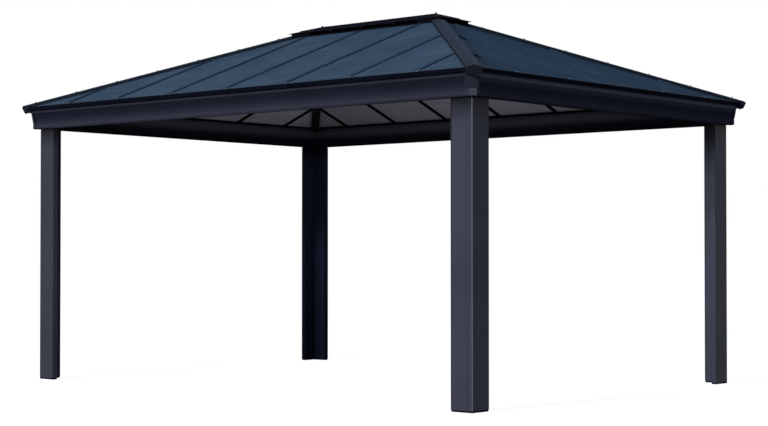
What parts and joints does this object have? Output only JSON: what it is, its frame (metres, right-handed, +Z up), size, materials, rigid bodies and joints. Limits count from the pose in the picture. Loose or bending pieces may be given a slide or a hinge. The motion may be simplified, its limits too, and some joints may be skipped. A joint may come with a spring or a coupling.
{
  "type": "gazebo",
  "caption": "Open metal gazebo with corner posts, gutter beams, a hipped twin-wall sheet roof and a raised ridge vent.",
  "frame": {"origin": "middle of the plan, on the ground under the posts' feet", "axes": "+Z up, +X along the long side, -Y is the long side seen in front"},
  "size_m": [4.9436, 3.6836, 3.0246],
  "materials": {
    "post_metal": "matt charcoal",
    "beam_metal": "matt charcoal",
    "cover_metal": "matt charcoal",
    "rafter_metal": "matt near-black",
    "bar_metal": "matt dark grey",
    "hip_metal": "matt charcoal",
    "trim_metal": "satin near-black",
    "lid_metal": "matt charcoal",
    "dark_fitting": "matt black",
    "dark_plastic": "matt black",
    "sheet_plastic": "smoky blue-grey, translucent"
  },
  "bodies": {
    "root": {"post_front_left": "post_metal", "post_front_right": "post_metal", "post_back_right": "post_metal", "post_back_left": "post_metal", "foot_plates": "dark_fitting", "post_top_plates": "dark_fitting", "beam_front": "beam_metal", "beam_right": "beam_metal", "beam_back": "beam_metal", "beam_left": "beam_metal", "corner_cover_front_left": "cover_metal", "corner_cover_front_right": "cover_metal", "corner_cover_back_right": "cover_metal", "corner_cover_back_left": "cover_metal", "corner_blocks": "cover_metal", "hip_rafter_front_left": "rafter_metal", "hip_rafter_front_right": "rafter_metal", "hip_rafter_back_right": "rafter_metal", "hip_rafter_back_left": "rafter_metal", "ridge_beam": "rafter_metal", "bars_front": "bar_metal", "bars_right": "bar_metal", "bars_back": "bar_metal", "bars_left": "bar_metal", "sheets_front": "sheet_plastic", "sheets_right": "sheet_plastic", "sheets_back": "sheet_plastic", "sheets_left": "sheet_plastic", "hip_cover_front_left": "hip_metal", "hip_cover_front_right": "hip_metal", "hip_cover_back_right": "hip_metal", "hip_cover_back_left": "hip_metal", "eave_trim_front": "trim_metal", "eave_trim_right": "trim_metal", "eave_trim_back": "trim_metal", "eave_trim_left": "trim_metal", "eave_corner_caps": "dark_plastic", "vent_flashing": "hip_metal", "vent_blocks": "dark_plastic", "vent_bearers": "dark_fitting", "vent_lid": "lid_metal", "lid_strips": "lid_metal", "lid_knobs": "dark_plastic"}
  },
  "joints": []
}
